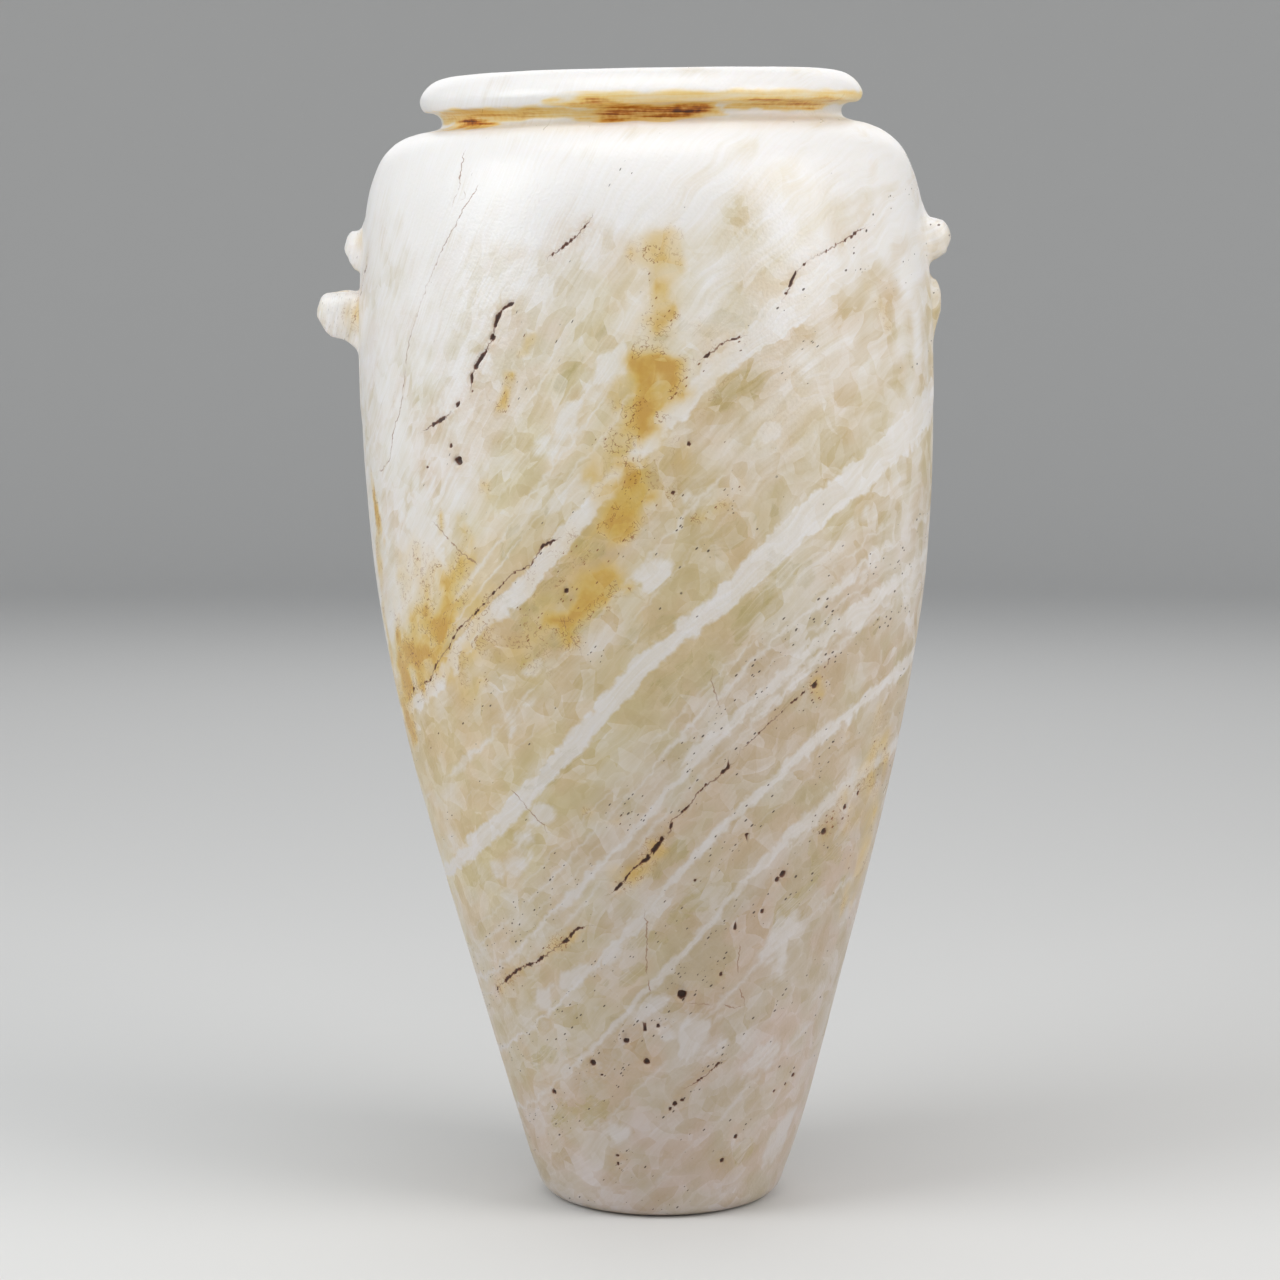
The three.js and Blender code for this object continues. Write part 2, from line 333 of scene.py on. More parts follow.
sprays = [  # degrees, height, radius, and share of the tiny grains strewn there
    (2.4, 358, 8, 0.75), (2, 372, 7, 0.5), (-1.6, 327, 8, 0.55), (-1, 318, 6, 0.7), (-8, 313.6, 7, 0.7),
    (-7.4, 295, 7, 0.6), (-3.9, 290, 10, 0.75), (-0.1, 276, 8, 0.65), (15.9, 290.5, 8, 0.7),
    (7.5, 283.4, 9, 0.5), (-38.3, 284, 6, 0.5), (-27, 334, 4, 0.6), (-27.7, 326.6, 5, 0.5),
    (35.9, 217.2, 9, 1), (39, 226, 7, 0.7), (33, 210, 8, 0.7), (15, 187.5, 7, 0.7), (41.5, 187.9, 7, 0.6),
    (52.6, 167, 9, 0.8), (65, 183.5, 9, 0.8), (7.2, 185, 7, 0.75), (-39, 267, 8, 0.5), (-46, 250, 13, 0.45),
    (-15.6, 257, 8, 0.8), (-25.4, 248.6, 6, 0.7), (-28.6, 242.6, 5, 0.6), (-38.6, 228.5, 7, 0.45),
    (-12.6, 236.8, 8, 0.55), (-13.1, 268, 8, 0.5), (-13.5, 169.5, 6, 0.6), (21.6, 160.4, 7, 0.6),
    (6.6, 172.8, 8, 0.6), (44.2, 159.8, 10, 0.85), (27.4, 129, 8, 0.6), (21.1, 122.7, 7, 0.6),
    (15.7, 110.6, 7, 0.6), (41.4, 88.4, 9, 0.55), (16.5, 64.4, 8, 0.55), (10.4, 58.6, 7, 0.6),
    (53.9, 54.5, 6, 0.5), (-21, 276, 7, 0.5), (-66, 215, 10, 0.8), (-60, 226, 9, 0.7), (24, 240, 10, 0.35),
    (17, 348, 8, 0.35), (47, 372, 9, 0.3), (125, 300, 14, 0.6), (160, 195, 12, 0.6), (-146, 252, 14, 0.6),
    (-104, 176, 12, 0.5), (171, 236, 9, 0.8),
]

patches = [  # degrees, height, half length, half width, tilt, and how milky or, below zero, how clear
    (-39, 369, 29, 15.3, 59, 0.7), (-38, 334, 12, 6.3, 43, 1), (-25, 375, 12, 4.9, 47, 0.8),
    (-10, 391, 11, 4.7, 55, 0.8), (-12, 330, 31, 4.7, 51, 0.9), (37, 400, 41, 18.5, 25, 0.6),
    (30, 367, 19, 4.5, 32, 0.9), (47, 382, 24, 5.2, 20, 1), (10, 375, 12, 6.9, 20, 0.6),
    (24, 317, 12, 4.7, 28, 0.8), (-18, 291, 10, 3.2, 44, 0.6), (-62, 327, 14, 12.8, 70, 0.9),
    (-52, 273, 23, 12.6, 77, 1), (9, 290, 7, 4.6, 30, 0.7), (1, 264, 10, 4.6, 30, 0.8),
    (-25, 227, 7, 3.6, 37, 0.8), (-31, 210, 8, 5, 41, 0.7), (52, 261, 16, 4.5, 27, 0.6),
    (47, 241, 13, 3.3, 30, 1), (35, 192, 21, 2.1, 33, 1), (28, 215, 17, 2.1, 41, 0.9),
    (10, 196, 19, 2.3, 38, 0.9), (-28, 168, 11, 4.5, 37, 0.8), (-42, 146, 14, 4, 30, 0.6),
    (11, 79, 9, 10.5, 60, 1), (-6, 125, 12, 2.7, 40, 1), (-22, 106, 23, 3.2, 31, 1),
    (-3, 91, 14, 2.7, 35, 0.9), (-17, 39, 10, 4.3, 19, 0.8), (37, 115, 14, 10.4, 65, 0.7),
    (35, 65, 11, 5.7, 44, 0.6), (54, 87, 10, 6.4, 65, 0.5), (56, 31, 12, 7.3, 65, 0.8),
    (14, 356, 14, 5, 15, -0.6), (-12, 344, 17, 2.7, 49, -0.5), (18, 331, 10, 5.4, 19, -0.5),
    (16, 276, 6, 3.5, 34, -1), (24, 286, 6, 3.1, 18, -0.8), (-27, 275, 15, 4.1, 42, -0.5),
    (-14, 272, 10, 4.3, 24, -0.7), (-24, 252, 15, 5.2, 33, -0.7), (4, 244, 7, 4.2, 55, -1),
    (13, 274, 10, 4.3, 39, -0.6), (5, 216, 8, 3.1, 35, -0.5), (28, 263, 12, 4.7, 162, -0.8),
    (20, 247, 13, 5.1, 38, -0.7), (7, 227, 12, 4.2, 38, -0.6), (56, 237, 8, 6.3, 44, -0.4),
    (2, 153, 9, 3.1, 38, -1), (7, 130, 14, 4.6, 38, -0.6), (-5, 120, 10, 3.5, 38, -0.6),
    (38, 130, 8, 3.5, 38, -0.8), (-9, 106, 7, 3.1, 30, -0.7), (-21, 97, 15, 3.5, 28, -0.4),
    (-44, 67, 12, 3.2, 15, -0.6), (-30, 46, 13, 3.9, 13, -0.7), (-24, 186, 16, 4, 36, -0.6),
    (36, 26, 6, 4.2, 34, -0.6), (49, 147, 9, 14.1, 49, -0.6), (-19, 239, 24, 3.5, 36, -0.5),
    (-3, 239, 15, 4.6, 38, -0.4), (63, 237, 6, 25.4, 69, 0.3), (45, 279, 25, 4.4, 24, 0.4),
    (-38, 86, 26, 9, 30, 0.34), (-24, 62, 22, 8, 30, 0.3), (-40, 38, 18, 8, 28, 0.36),
    (-32, 120, 16, 6, 34, 0.28), (-30, 20, 16, 6, 20, 0.34), (-12, 84, 16, 6, 34, 0.26),
]
hiddenPatches = {
    "seed": 23, "count": 60, "degrees": (100, 260), "heights": (22, 420), "length": (9, 30), "width": (3, 8),
    "milky": (0.6, 1), "clear": (-1, -0.5),
}


def place(degrees, height):
    # A place on the outside, with the jar standing upright
    radius, turn = wallRadius(height), math.radians(degrees)
    return np.array([radius * math.sin(turn), -radius * math.cos(turn), height])


def uneven(points, *waves):
    # The sum of the waves at each point
    return sum(height * np.array([noise.noise(Vector(p)) for p in points / length + part])
               for height, length, part in waves)


def leaned(points):
    # Stands upright points where the real jar has them: leaning, on a foot that is ground level
    x, y, z = points.T
    slope = math.tan(math.radians(jar["lean"]))
    aboveFoot = smoothStep(z, 0, jar["levelBy"])
    sway = jar["sway"] * np.exp(-((z - jar["neckHeight"]) / jar["swayReach"]) ** 2) * x / jar["lip"]["radius"]
    return np.stack([x + jar["footOffset"] * aboveFoot - z * slope, y, z + x * slope * aboveFoot + sway], 1)


layers = {
    "zero": 319.5,  # height of the first white vein on the axis
    "slope": 1.18,  # its rise towards +X, which eases by the next value
    "easing": 0.0035,
    "crowding": 0.0055,  # layers above that vein close up towards -X
    "crowdingFrom": -10,
    "back": (-15, 70),  # depths into the scene where the hidden side begins and where it is itself
    "backBend": 0.0022,  # there they bend up
    "backWaves": (15, 75, 3.3),
    "turn": 47,  # degrees, the direction that streaks follow
    "bends": [  # along and across the layers, half length, half width, and how far the layers dip there
        (235, -88, 62, 18, 8.5), (125, 8, 20, 12, -7.5), (305, -8, 34, 18, 9), (160, -212, 40, 16, -4),
    ],
}


def layerPlaces(points):
    # Across the layers, along them, and into the stone, for points where the real jar has them
    x, y, z = points.T
    rise = layers["slope"] * x - layers["easing"] * np.maximum(0, x) ** 2
    across = z - layers["zero"] - rise
    crowded = 1 + layers["crowding"] * np.minimum(0, x - layers["crowdingFrom"])
    across = np.where(across > 0, across / crowded, across)
    behind = smoothStep(y, *layers["back"])
    across += layers["backBend"] * np.maximum(0, y) ** 2 + behind * uneven(points, layers["backWaves"])
    turn = math.radians(layers["turn"])
    along = x * math.cos(turn) + z * math.sin(turn)
    shift = np.zeros_like(across)
    for middle, level, length, width, dip in layers["bends"]:
        near = np.exp(-((along - middle) / length) ** 4 - ((across - level) / width) ** 4)
        shift += dip * near * (1 - behind)
    return np.stack([across + shift, along, y], 1)


def layerRun(degrees, height):
    # Which way a layer runs on the outside, sideways and up, and the length of a degree there
    here = place(degrees, height)
    around = np.array([here, place(degrees + 1, height), place(degrees, height + 2)])
    depth = layerPlaces(leaned(around))[:, 0]
    perDegree = np.linalg.norm(around[1] - here)
    run = np.array([(depth[2] - depth[0]) / 2, (depth[0] - depth[1]) / perDegree])
    return run / (np.linalg.norm(run) + 1e-9), perDegree


def alongLayer(start, count):
    # A line on the outside that keeps to one layer, as places
    step, stray = hiddenFlaws["step"]
    random = np.random.default_rng(int(abs(start[0]) * 7 + start[1]))
    places = [start]
    for _ in range(count):
        degrees, height = places[-1]
        run, perDegree = layerRun(degrees, height)
        run = run * step + random.normal(0, stray, 2)
        places.append((degrees + run[0] / perDegree, float(np.clip(height + run[1], *hiddenFlaws["keep"]))))
    return places


def addHiddenFlaws():
    random = np.random.default_rng(hiddenFlaws["seed"])
    count, turns, heights, radii = hiddenFlaws["pits"]
    for _ in range(count):
        radius = random.uniform(*radii)
        pits.append((random.uniform(*turns), random.uniform(*heights), radius, radius * 0.8))
    pits.append(hiddenFlaws["deepPit"])
    count, turns, heights, widths, shares, steps = hiddenFlaws["seams"]
    for _ in range(count):
        start = (random.uniform(*turns), random.uniform(*heights))
        width = random.uniform(*widths)
        share = random.uniform(*shares)
        seams.append((width, width * 0.75, share, alongLayer(start, int(random.integers(*steps)))))


def addHiddenPatches():
    hidden = hiddenPatches
    random = np.random.default_rng(hidden["seed"])
    for _ in range(hidden["count"]):
        spot = (random.uniform(*hidden["degrees"]), random.uniform(*hidden["heights"]))
        run, _ = layerRun(*spot)
        tilt = math.degrees(math.atan2(run[1], run[0]))
        share = random.choice([random.uniform(*hidden["milky"]), random.uniform(*hidden["clear"])])
        length, width = random.uniform(*hidden["length"]), random.uniform(*hidden["width"])
        patches.append((*spot, length, width, tilt, share))


addHiddenFlaws()
addHiddenPatches()
print("flaws placed:", len(pits), "pits,", len(seams), "seams and", len(patches), "patches")


def flatMap(grid):
    # Places of rows and columns on the flat map, as long there as they are on the stone
    ring = np.concatenate([grid, grid[:, :1]], 1)
    sideways = np.linalg.norm(np.diff(ring, axis=1), axis=2)
    upwards = np.linalg.norm(np.diff(grid, axis=0), axis=2).max(1)
    mouthEnd = firstRow["inside"] - 1
    outer = np.concatenate([[0], np.cumsum(sideways[firstRow["footEdge"]:mouthEnd].max(0))])
    inner = np.concatenate([[0], np.cumsum(sideways[mouthEnd:].max(0))])
    return outer, inner, np.concatenate([[0], np.cumsum(upwards)])


def buildStone(grid):
    # The whole skin as one closed mesh of quads, with its flat map
    bm = bmesh.new()
    rowLayer = bm.verts.layers.float.new("row")
    mapLayer = bm.loops.layers.uv.new("OFBake")
    outer, inner, up = flatMap(grid)
    footStart, mouthEnd, last = firstRow["footEdge"], firstRow["inside"] - 1, len(grid) - 1
    floorStart = next(i for i in range(mouthEnd, last) if wall[i][1] < jar["floorBelow"])
    gap, footDisc, floorDisc = 6.0, jar["foot"]["radius"], wall[floorStart][0]
    outerTop = up[mouthEnd] - up[footStart] + gap
    innerTop = outerTop + up[floorStart] - up[mouthEnd] + gap
    span = max(outer[-1], innerTop) + gap

    def onMap(i, j, low):
        x, y = grid[i, j % len(angles), :2]
        if low < footStart:
            spot = (inner[-1] + gap + footDisc + x, outerTop + gap + footDisc + y)
        elif low < mouthEnd:
            spot = (outer[j], up[i] - up[footStart])
        elif low < floorStart:
            spot = (inner[j], outerTop + up[i] - up[mouthEnd])
        else:
            spot = (inner[-1] + gap + floorDisc + x, innerTop - floorDisc + y)
        return [(c + gap / 2) / span for c in spot]

    rings = []
    for i, ring in enumerate(grid):
        made = [bm.verts.new(p) for p in (ring[:1] if i in (0, last) else ring)]
        for vertex in made:
            vertex[rowLayer] = i
        rings.append(made)
    for i in range(last):
        for j in range(len(angles)):
            corners = [(i, j), (i, j + 1), (i + 1, j + 1), (i + 1, j)]
            if i == 0:
                corners.pop(1)
            if i + 1 == last:
                corners.pop(2)
            face = bm.faces.new([rings[a][b % len(rings[a])] for a, b in corners])
            face.smooth = True
            for loop, (a, b) in zip(face.loops, corners):
                loop[mapLayer].uv = onMap(a, b, i)
    return bm


cutting = {"reach": 1.7, "step": 1.5, "longEdge": 1.3, "cuts": 4}  # only edges longer than longEdge are cut


def seamPoints(seam):
    return [place(*spot) for spot in seam[3]]


def refine(bm):
    # Splits the faces around pits and seams, so that they can be cut into the mesh
    reach = cutting["reach"]
    spots = [(place(degrees, height), radius + reach) for degrees, height, radius, _ in pits]
    for seam in seams:
        for a, b in zip(seamPoints(seam), seamPoints(seam)[1:]):
            steps = max(1, int(np.linalg.norm(b - a) / cutting["step"]))
            spots += [(a + (b - a) * k / steps, seam[0] + reach) for k in range(steps + 1)]
    centres = np.array([f.calc_center_median() for f in bm.faces])
    rowLayer = bm.verts.layers.float["row"]
    outside = np.array([f.verts[0][rowLayer] < firstRow["lip"] for f in bm.faces])
    near = np.zeros(len(centres), bool)
    for spot, radius in spots:
        near |= ((centres - spot) ** 2).sum(1) < radius**2
    bm.faces.ensure_lookup_table()
    edges = {edge for k in np.flatnonzero(near & outside) for edge in bm.faces[k].edges
             if edge.calc_length() > cutting["longEdge"]}
    bmesh.ops.subdivide_edges(bm, edges=list(edges), cuts=cutting["cuts"], use_grid_fill=True)
    bmesh.ops.triangulate(bm, faces=[f for f in bm.faces if len(f.verts) > 4])


def lineDistance(points, line):
    # Distance to a line, and which side of it each point is on
    best, side = np.full(len(points), 1e9), np.zeros(len(points))
    for a, b in zip(line, line[1:]):
        t = np.clip((points - a) @ (b - a) / np.linalg.norm(b - a)**2, 0, 1)
        off = points - (a + t[:, None] * (b - a))
        distance = np.linalg.norm(off, axis=1)
        outward = np.array([a[0], a[1], 0]) / math.hypot(a[0], a[1])
        nearer = distance < best
        best[nearer] = distance[nearer]
        side[nearer] = np.sign(off @ np.cross(outward, b - a))[nearer]
    return best, side


relief = {
    "handwork": ((0.22, 42, 0), (0.1, 15, 7.7)),  # waves of the surface outside, inside and on broken stone
    "hollow": ((0.35, 30, 0), (0.1, 11, 7.7)),
    "broken": ((0.45, 5, 0), (0.2, 2.1, 7.7)),
    "onLug": (1, 2.6),  # how far out from the wall the broken stone begins
    "resting": (1, 9),  # heights over which the foot loses its flatness
    "edge": (0.45, 1.6, 1.7),  # waves of a flaw's edge, of the gaps in a seam and of its width
    "gaps": (1, 3.1, 5.1),
    "swell": (1.1, 4.2, 2.2),
    "width": (0.72, 0.25, 1.05),  # usual, least and greatest width of a seam, as shares of its own
    "pit": (0.5, 1.15, 1.6),  # where it begins to rise and where it ends, in radii, and a common radius
    "dashes": (0.18, 0.34, 0.5),  # where in its waves a seam opens, and how much its open share lowers that
    "halo": 3.6,  # reach of the stain round a flaw
    "crackNear": (2.5, 5),  # how far off a crack still counts
    "drift": ((1, 13, 11.3), (1, 13, 23.9), (1, 13, 37.1)),  # waves that bend the crystals, each way
}
grooveRing = {
    "waves": {  # how much they are squeezed upwards, and the waves
        "ends": (5, (9, 9, 2.6)), "strength": (9, (0.45, 16, 7.2)), "height": (0.3, (1.3, 7, 4.9)),
    },
    "endFade": (7, 6),  # degrees inside and outside the end of a stain
    "lowFade": (1.2, 1),
    "highFade": (1.2, 1.2),
    "margin": (3, 2),  # between the flat top and the stains, and beyond the lip
}
grooveStains = [  # degrees from and to, heights from and to, and strength
    (-14, 19, 430.6, 436, 1.1), (-21, -4, 436, 439.2, 0.8), (-66, -46, 429.6, 433.8, 1.05),
    (-80, -14, 432.4, 436.4, 0.5), (-22, 96, 434.6, 441, 0.3), (24, 64, 433.2, 437.4, 0.75),
    (112, 158, 430.8, 436.6, 0.7), (172, 204, 433, 438, 0.5), (-138, -112, 430, 435.6, 0.6),
]


def flawDepths(points):
    # Depth of the pits and seams, how far into one each point is, and the stain round them
    depth, opened, halo = (np.zeros(len(points)) for _ in range(3))
    edge, gaps = uneven(points, relief["edge"]), uneven(points, relief["gaps"])
    usual, least, greatest = relief["width"]
    swell = np.clip(usual + uneven(points, relief["swell"]), least, greatest)
    bottom, rim, common = relief["pit"]
    closed, gaping, lower = relief["dashes"]
    for degrees, height, radius, deep in pits:
        distance = np.linalg.norm(points - place(degrees, height), axis=1) + edge * radius / common
        inside = 1 - smoothStep(distance, bottom * radius, rim * radius)
        depth, opened = np.maximum(depth, deep * inside), np.maximum(opened, inside)
        halo = np.maximum(halo, 0.5 * np.exp(-(np.maximum(0, distance - radius) / relief["halo"]) ** 2))
    for seam in seams:
        width, deep, share, _ = seam
        distance, _ = lineDistance(points, seamPoints(seam))
        dashed = smoothStep(gaps, closed - lower * share, gaping - lower * share)
        openWidth = width * swell
        inside = dashed * (1 - smoothStep(distance + edge, 0.3 * openWidth, openWidth))
        depth = np.maximum(depth, deep * inside * swell)
        opened = np.maximum(opened, inside)
        halo = np.maximum(halo, share * np.exp(-(distance / relief["halo"]) ** 2))
    return depth, opened, halo


soaked = {"edge": ((0.8, 13, 2.9), (0.55, 5.2, 6.1)), "strength": (0.5, 8, 3.7), "fall": 1.3, "lugFrom": 0.2}


def ironStain(points):
    amount, edge = np.zeros(len(points)), uneven(points, *soaked["edge"])
    for startTurn, startHeight, endTurn, endHeight, radius, strength in stains:
        distance, _ = lineDistance(points, [place(startTurn, startHeight), place(endTurn, endHeight)])
        off = np.maximum(0, distance / radius + edge)
        amount = np.maximum(amount, strength * np.exp(-soaked["fall"] * off ** 2))
    for degrees, height, out, radius, strength in lugStains:
        spot = place(degrees, height) * [1 + out / jar["belly"], 1 + out / jar["belly"], 1]
        off = np.maximum(0, np.linalg.norm(points - spot, axis=1) / radius + edge - soaked["lugFrom"])
        amount = np.maximum(amount, strength * np.exp(-off ** 2))
    return amount * (1 + uneven(points, soaked["strength"]))


milkiness = {  # from where to where along the layers, up and leftwards it grows, and by how much; the growth along the layers and up is partly whiter stone and partly painted light on the upper right and shoulder
    "along": (185, 285, 0.5),
    "top": (340, 420, 0.68),
    "left": (-45, -85, 0.45),
    "leftAcross": (50, 90),
    "clouds": ((0.5, 30, 0), (0.42, 12, 7.7)),
    "hue": ((1, 21, 0), (0.7, 8, 7.7)),
    "patchEdge": ((1, 11, 4.4), (0.7, 4.6, 8.3)),
    "patchFade": (0.35, 1.5),
    "patchDepth": 45,  # a patch ends this far into the stone
}


def patchShares(points):
    # How milky and how clear the stone is in its patches
    milky, clear = np.zeros(len(points)), np.zeros(len(points))
    edge = uneven(points, *milkiness["patchEdge"])
    for degrees, height, length, width, tilt, share in patches:
        turn, lean = math.radians(degrees), math.radians(tilt)
        off = points - place(degrees, height)
        sideways = off @ np.array([math.cos(turn), math.sin(turn), 0])
        inward = off @ np.array([math.sin(turn), -math.cos(turn), 0])
        u = sideways * math.cos(lean) + off[:, 2] * math.sin(lean)
        v = off[:, 2] * math.cos(lean) - sideways * math.sin(lean)
        inside = 1 - smoothStep(np.hypot(u / length, v / width) + edge, *milkiness["patchFade"])
        target = milky if share > 0 else clear
        np.maximum(target, abs(share) * inside * (np.abs(inward) < milkiness["patchDepth"]), out=target)
    return milky, clear


speckLines = [  # middle across the layers, half width, and share of the grains there
    (4.5, 3, 0.55), (-24, 10, 0.25), (-66, 12, 0.14), (-133, 17, 0.55), (-155, 4, 0.9), (-190, 15, 0.48),
    (-221, 6, 0.9), (-236, 10, 0.42), (-276, 6, 0.65), (-300, 14, 0.25), (-318, 5, 0.5), (110, 40, 0.06),
]


specks = {
    "everywhere": 0.02,
    "thinned": ((1, 15, 9.9), (-0.3, 0.35), 0.25),  # waves, where in them grains thin out, and to what share
    "edge": (0.6, 4.1, 1.3),
    "lineFrom": 0.4,  # share of a line's width where it starts to fade, and the same for a spray
    "spray": (0.2, 1.1),
    "onLug": 0.3,
}


def milkClouds(points, layer):
    along, top, left = milkiness["along"], milkiness["top"], milkiness["left"]
    # Painted light, in part: the stone turns milkier along the layers and towards the top, standing in for
    # the brighter light on the upper right and shoulder
    share = uneven(points, *milkiness["clouds"]) + along[2] * smoothStep(layer[:, 1], *along[:2])
    share += top[2] * smoothStep(points[:, 2], *top[:2])
    onLeft = smoothStep(points[:, 0], *left[:2]) * smoothStep(layer[:, 0], *milkiness["leftAcross"])
    return share + left[2] * onLeft


def speckShare(points, layer):
    share = specks["everywhere"] + np.zeros(len(points))
    for middle, half, most in speckLines:
        off = np.abs(layer[:, 0] - middle)
        share = np.maximum(share, most * (1 - smoothStep(off, specks["lineFrom"] * half, half)))
    waves, levels, least = specks["thinned"]
    share *= least + (1 - least) * smoothStep(uneven(points, waves), *levels)
    edge = uneven(points, specks["edge"])
    for degrees, height, radius, most in sprays:
        distance = np.linalg.norm(points - place(degrees, height), axis=1) / radius + edge
        share = np.maximum(share, most * (1 - smoothStep(distance, *specks["spray"])))
    return share


def grooveStain(points):
    around = np.degrees(np.arctan2(points[:, 0], -points[:, 1]))
    reach = np.hypot(points[:, 0], points[:, 1])
    amount, ring = np.zeros(len(points)), grooveRing
    waves = {name: uneven(points * [1, 1, squeeze], wave) for name, (squeeze, wave) in ring["waves"].items()}
    level = points[:, 2] + waves["height"]
    for start, end, low, high, strength in grooveStains:
        half = (end - start) / 2
        off = np.abs((around - (start + end) / 2 + 180) % 360 - 180) + waves["ends"]
        patch = 1 - faded(off, half, *ring["endFade"])
        band = faded(level, low, *ring["lowFade"]) * (1 - faded(level, high, *ring["highFade"]))
        amount = np.maximum(amount, strength * patch * band * (1 + waves["strength"]))
    inner, outer = ring["margin"]
    return amount * (reach > jar["lip"]["flatTo"] + inner) * (reach < jar["lip"]["radius"] + outer)


def crackPlaces(points):
    # Signed distance from the nearest crack, and how near it is
    best, signed = np.full(len(points), 1e9), np.zeros(len(points))
    for line in cracks + [seam[3] for seam in seams]:
        distance, side = lineDistance(points, [place(*spot) for spot in line])
        nearer = distance < best
        best[nearer], signed[nearer] = distance[nearer], (distance * side)[nearer]
    return np.clip(signed, -8, 8), 1 - smoothStep(best, *relief["crackNear"])


def makeJar():
    bm = buildStone(uprightGrid())
    refine(bm)
    bm.normal_update()
    mesh = bpy.data.meshes.new("jarStone")
    bm.to_mesh(mesh)
    bm.free()
    count = len(mesh.vertices)
    points, normals, row = (np.zeros(count * k) for k in (3, 3, 1))
    mesh.vertices.foreach_get("co", points)
    mesh.vertices.foreach_get("normal", normals)
    mesh.attributes["row"].data.foreach_get("value", row)
    points, normals = points.reshape(-1, 3), normals.reshape(-1, 3)

    outside = row < firstRow["lip"]
    hollow = smoothStep(row, firstRow["inside"] - 1, firstRow["inside"] + 1)
    proud = np.hypot(points[:, 0], points[:, 1]) - wallRadius(points[:, 2])
    onLug = outside * smoothStep(proud, *relief["onLug"])
    resting = smoothStep(points[:, 2], *relief["resting"])
    depth, opened, halo = (np.zeros(count) for _ in range(3))
    depth[outside], opened[outside], halo[outside] = flawDepths(points[outside])
    lift = (1 - hollow) * resting * uneven(points, *relief["handwork"])
    broken = onLug * uneven(points, *relief["broken"])
    lift += hollow * uneven(points, *relief["hollow"]) + broken - depth
    crackAcross, crackNear = crackPlaces(points)
    iron, groove = ironStain(points) * outside, grooveStain(points)
    milky, clear = patchShares(points)
    upright = points
    points = leaned(points + normals * lift[:, None])
    layer = layerPlaces(points)
    drift = np.stack([uneven(points, wave) for wave in relief["drift"]], 1)

    mesh.attributes.remove(mesh.attributes["row"])
    floats = {
        "pit": opened, "halo": halo, "iron": iron, "groove": groove, "hollow": hollow, "milky": milky,
        "clear": clear * outside, "crackAcross": crackAcross, "crackNear": crackNear * outside,
        "cloud": milkClouds(upright, layer), "hue": uneven(upright, *milkiness["hue"]),
        "speck": np.maximum(speckShare(upright, layer), specks["onLug"] * onLug) * outside,
    }
    for name, values in floats.items():
        mesh.attributes.new(name, "FLOAT", "POINT").data.foreach_set("value", values)
    for name, values in {"layer": layer, "drift": drift}.items():
        mesh.attributes.new(name, "FLOAT_VECTOR", "POINT").data.foreach_set("vector", values.ravel())
    mesh.vertices.foreach_set("co", (points * mm).ravel())
    mesh.update()
    stone = added("jarStone", mesh)
    print("jar mesh:", sum(len(p.vertices) - 2 for p in mesh.polygons), "triangles")
    return stone


stone = makeJar()
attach(stone, "root")
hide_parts("jar")


# The stone's finish. Colours are linear light, and lengths are millimetres. Where marks and clouds are added
# up, the number before each one is how much it counts.

class Wire:
    # A socket of a material's nodes. Plain expressions on wires add the nodes that work them out.
    def __init__(self, tree, socket=None):
        self.tree = tree
        self.socket = socket

    def node(self, kind, settings=None, values=None, output=0):
        made = self.tree.nodes.new(kind)
        for name, setting in (settings or {}).items():
            if name == "stops":
                fillRamp(made.color_ramp, setting)
            else:
                setattr(made, name, setting)
        for name, value in (values or {}).items():
            socket = made.inputs[name]
            if isinstance(value, Wire):
                self.tree.links.new(value.socket, socket)
            else:
                socket.default_value = (*value, 1) if socket.type == "RGBA" else value
        return Wire(self.tree, made.outputs[output])

    def sum(self, operation, first, second):
        kinds = [v.socket.type if isinstance(v, Wire) else type(v) for v in (first, second)]
        if all(kind in ("VALUE", int, float) for kind in kinds):
            return self.node("ShaderNodeMath", {"operation": operation}, {0: first, 1: second})
        first, second = ((v,) * 3 if isinstance(v, (int, float)) else v for v in (first, second))
        return self.node("ShaderNodeVectorMath", {"operation": operation}, {0: first, 1: second})

    def __add__(self, other):
        return self.sum("ADD", self, other)

    def __radd__(self, other):
        return self.sum("ADD", other, self)

    def __sub__(self, other):
        return self.sum("SUBTRACT", self, other)

    def __rsub__(self, other):
        return self.sum("SUBTRACT", other, self)

    def __mul__(self, other):
        return self.sum("MULTIPLY", self, other)

    def __rmul__(self, other):
        return self.sum("MULTIPLY", other, self)

    def __truediv__(self, other):
        return self.sum("DIVIDE", self, other)

    def __rtruediv__(self, other):
        return self.sum("DIVIDE", other, self)

    def __abs__(self):
        return self.node("ShaderNodeMath", {"operation": "ABSOLUTE"}, {0: self})

    def most(self, other):
        return self.sum("MAXIMUM", self, other)

    def least(self, other):
        return self.sum("MINIMUM", self, other)


def fillRamp(ramp, stops):
    while len(ramp.elements) < len(stops):
        ramp.elements.new(1)
    for element, (spot, colour) in zip(ramp.elements, stops):
        element.position = spot
        element.color = (*colour, 1)


def mixed(first, second, share):
    wire = next(v for v in (first, second, share) if isinstance(v, Wire))
    return wire.node("ShaderNodeMix", {"data_type": "RGBA"}, {0: share, 6: first, 7: second}, 2)


def stepped(value, low, high):
    # Rises softly from 0 at low to 1 at high, or falls where low is the larger
    settings = {"interpolation_type": "SMOOTHSTEP"}
    return value.node("ShaderNodeMapRange", settings, {"Value": value, "From Min": low, "From Max": high})


def cloud(place, size, seed=0, detail=2.0, roughness=0.5):
    # Soft noise, mostly from -1 to 1, with lumps of this size
    moved = place / size + (seed * 3.7, seed * 1.9, seed * 5.3)
    values = {"Vector": moved, "Scale": 1, "Detail": detail, "Roughness": roughness}
    return place.node("ShaderNodeTexNoise", {}, values) * 4 - 2


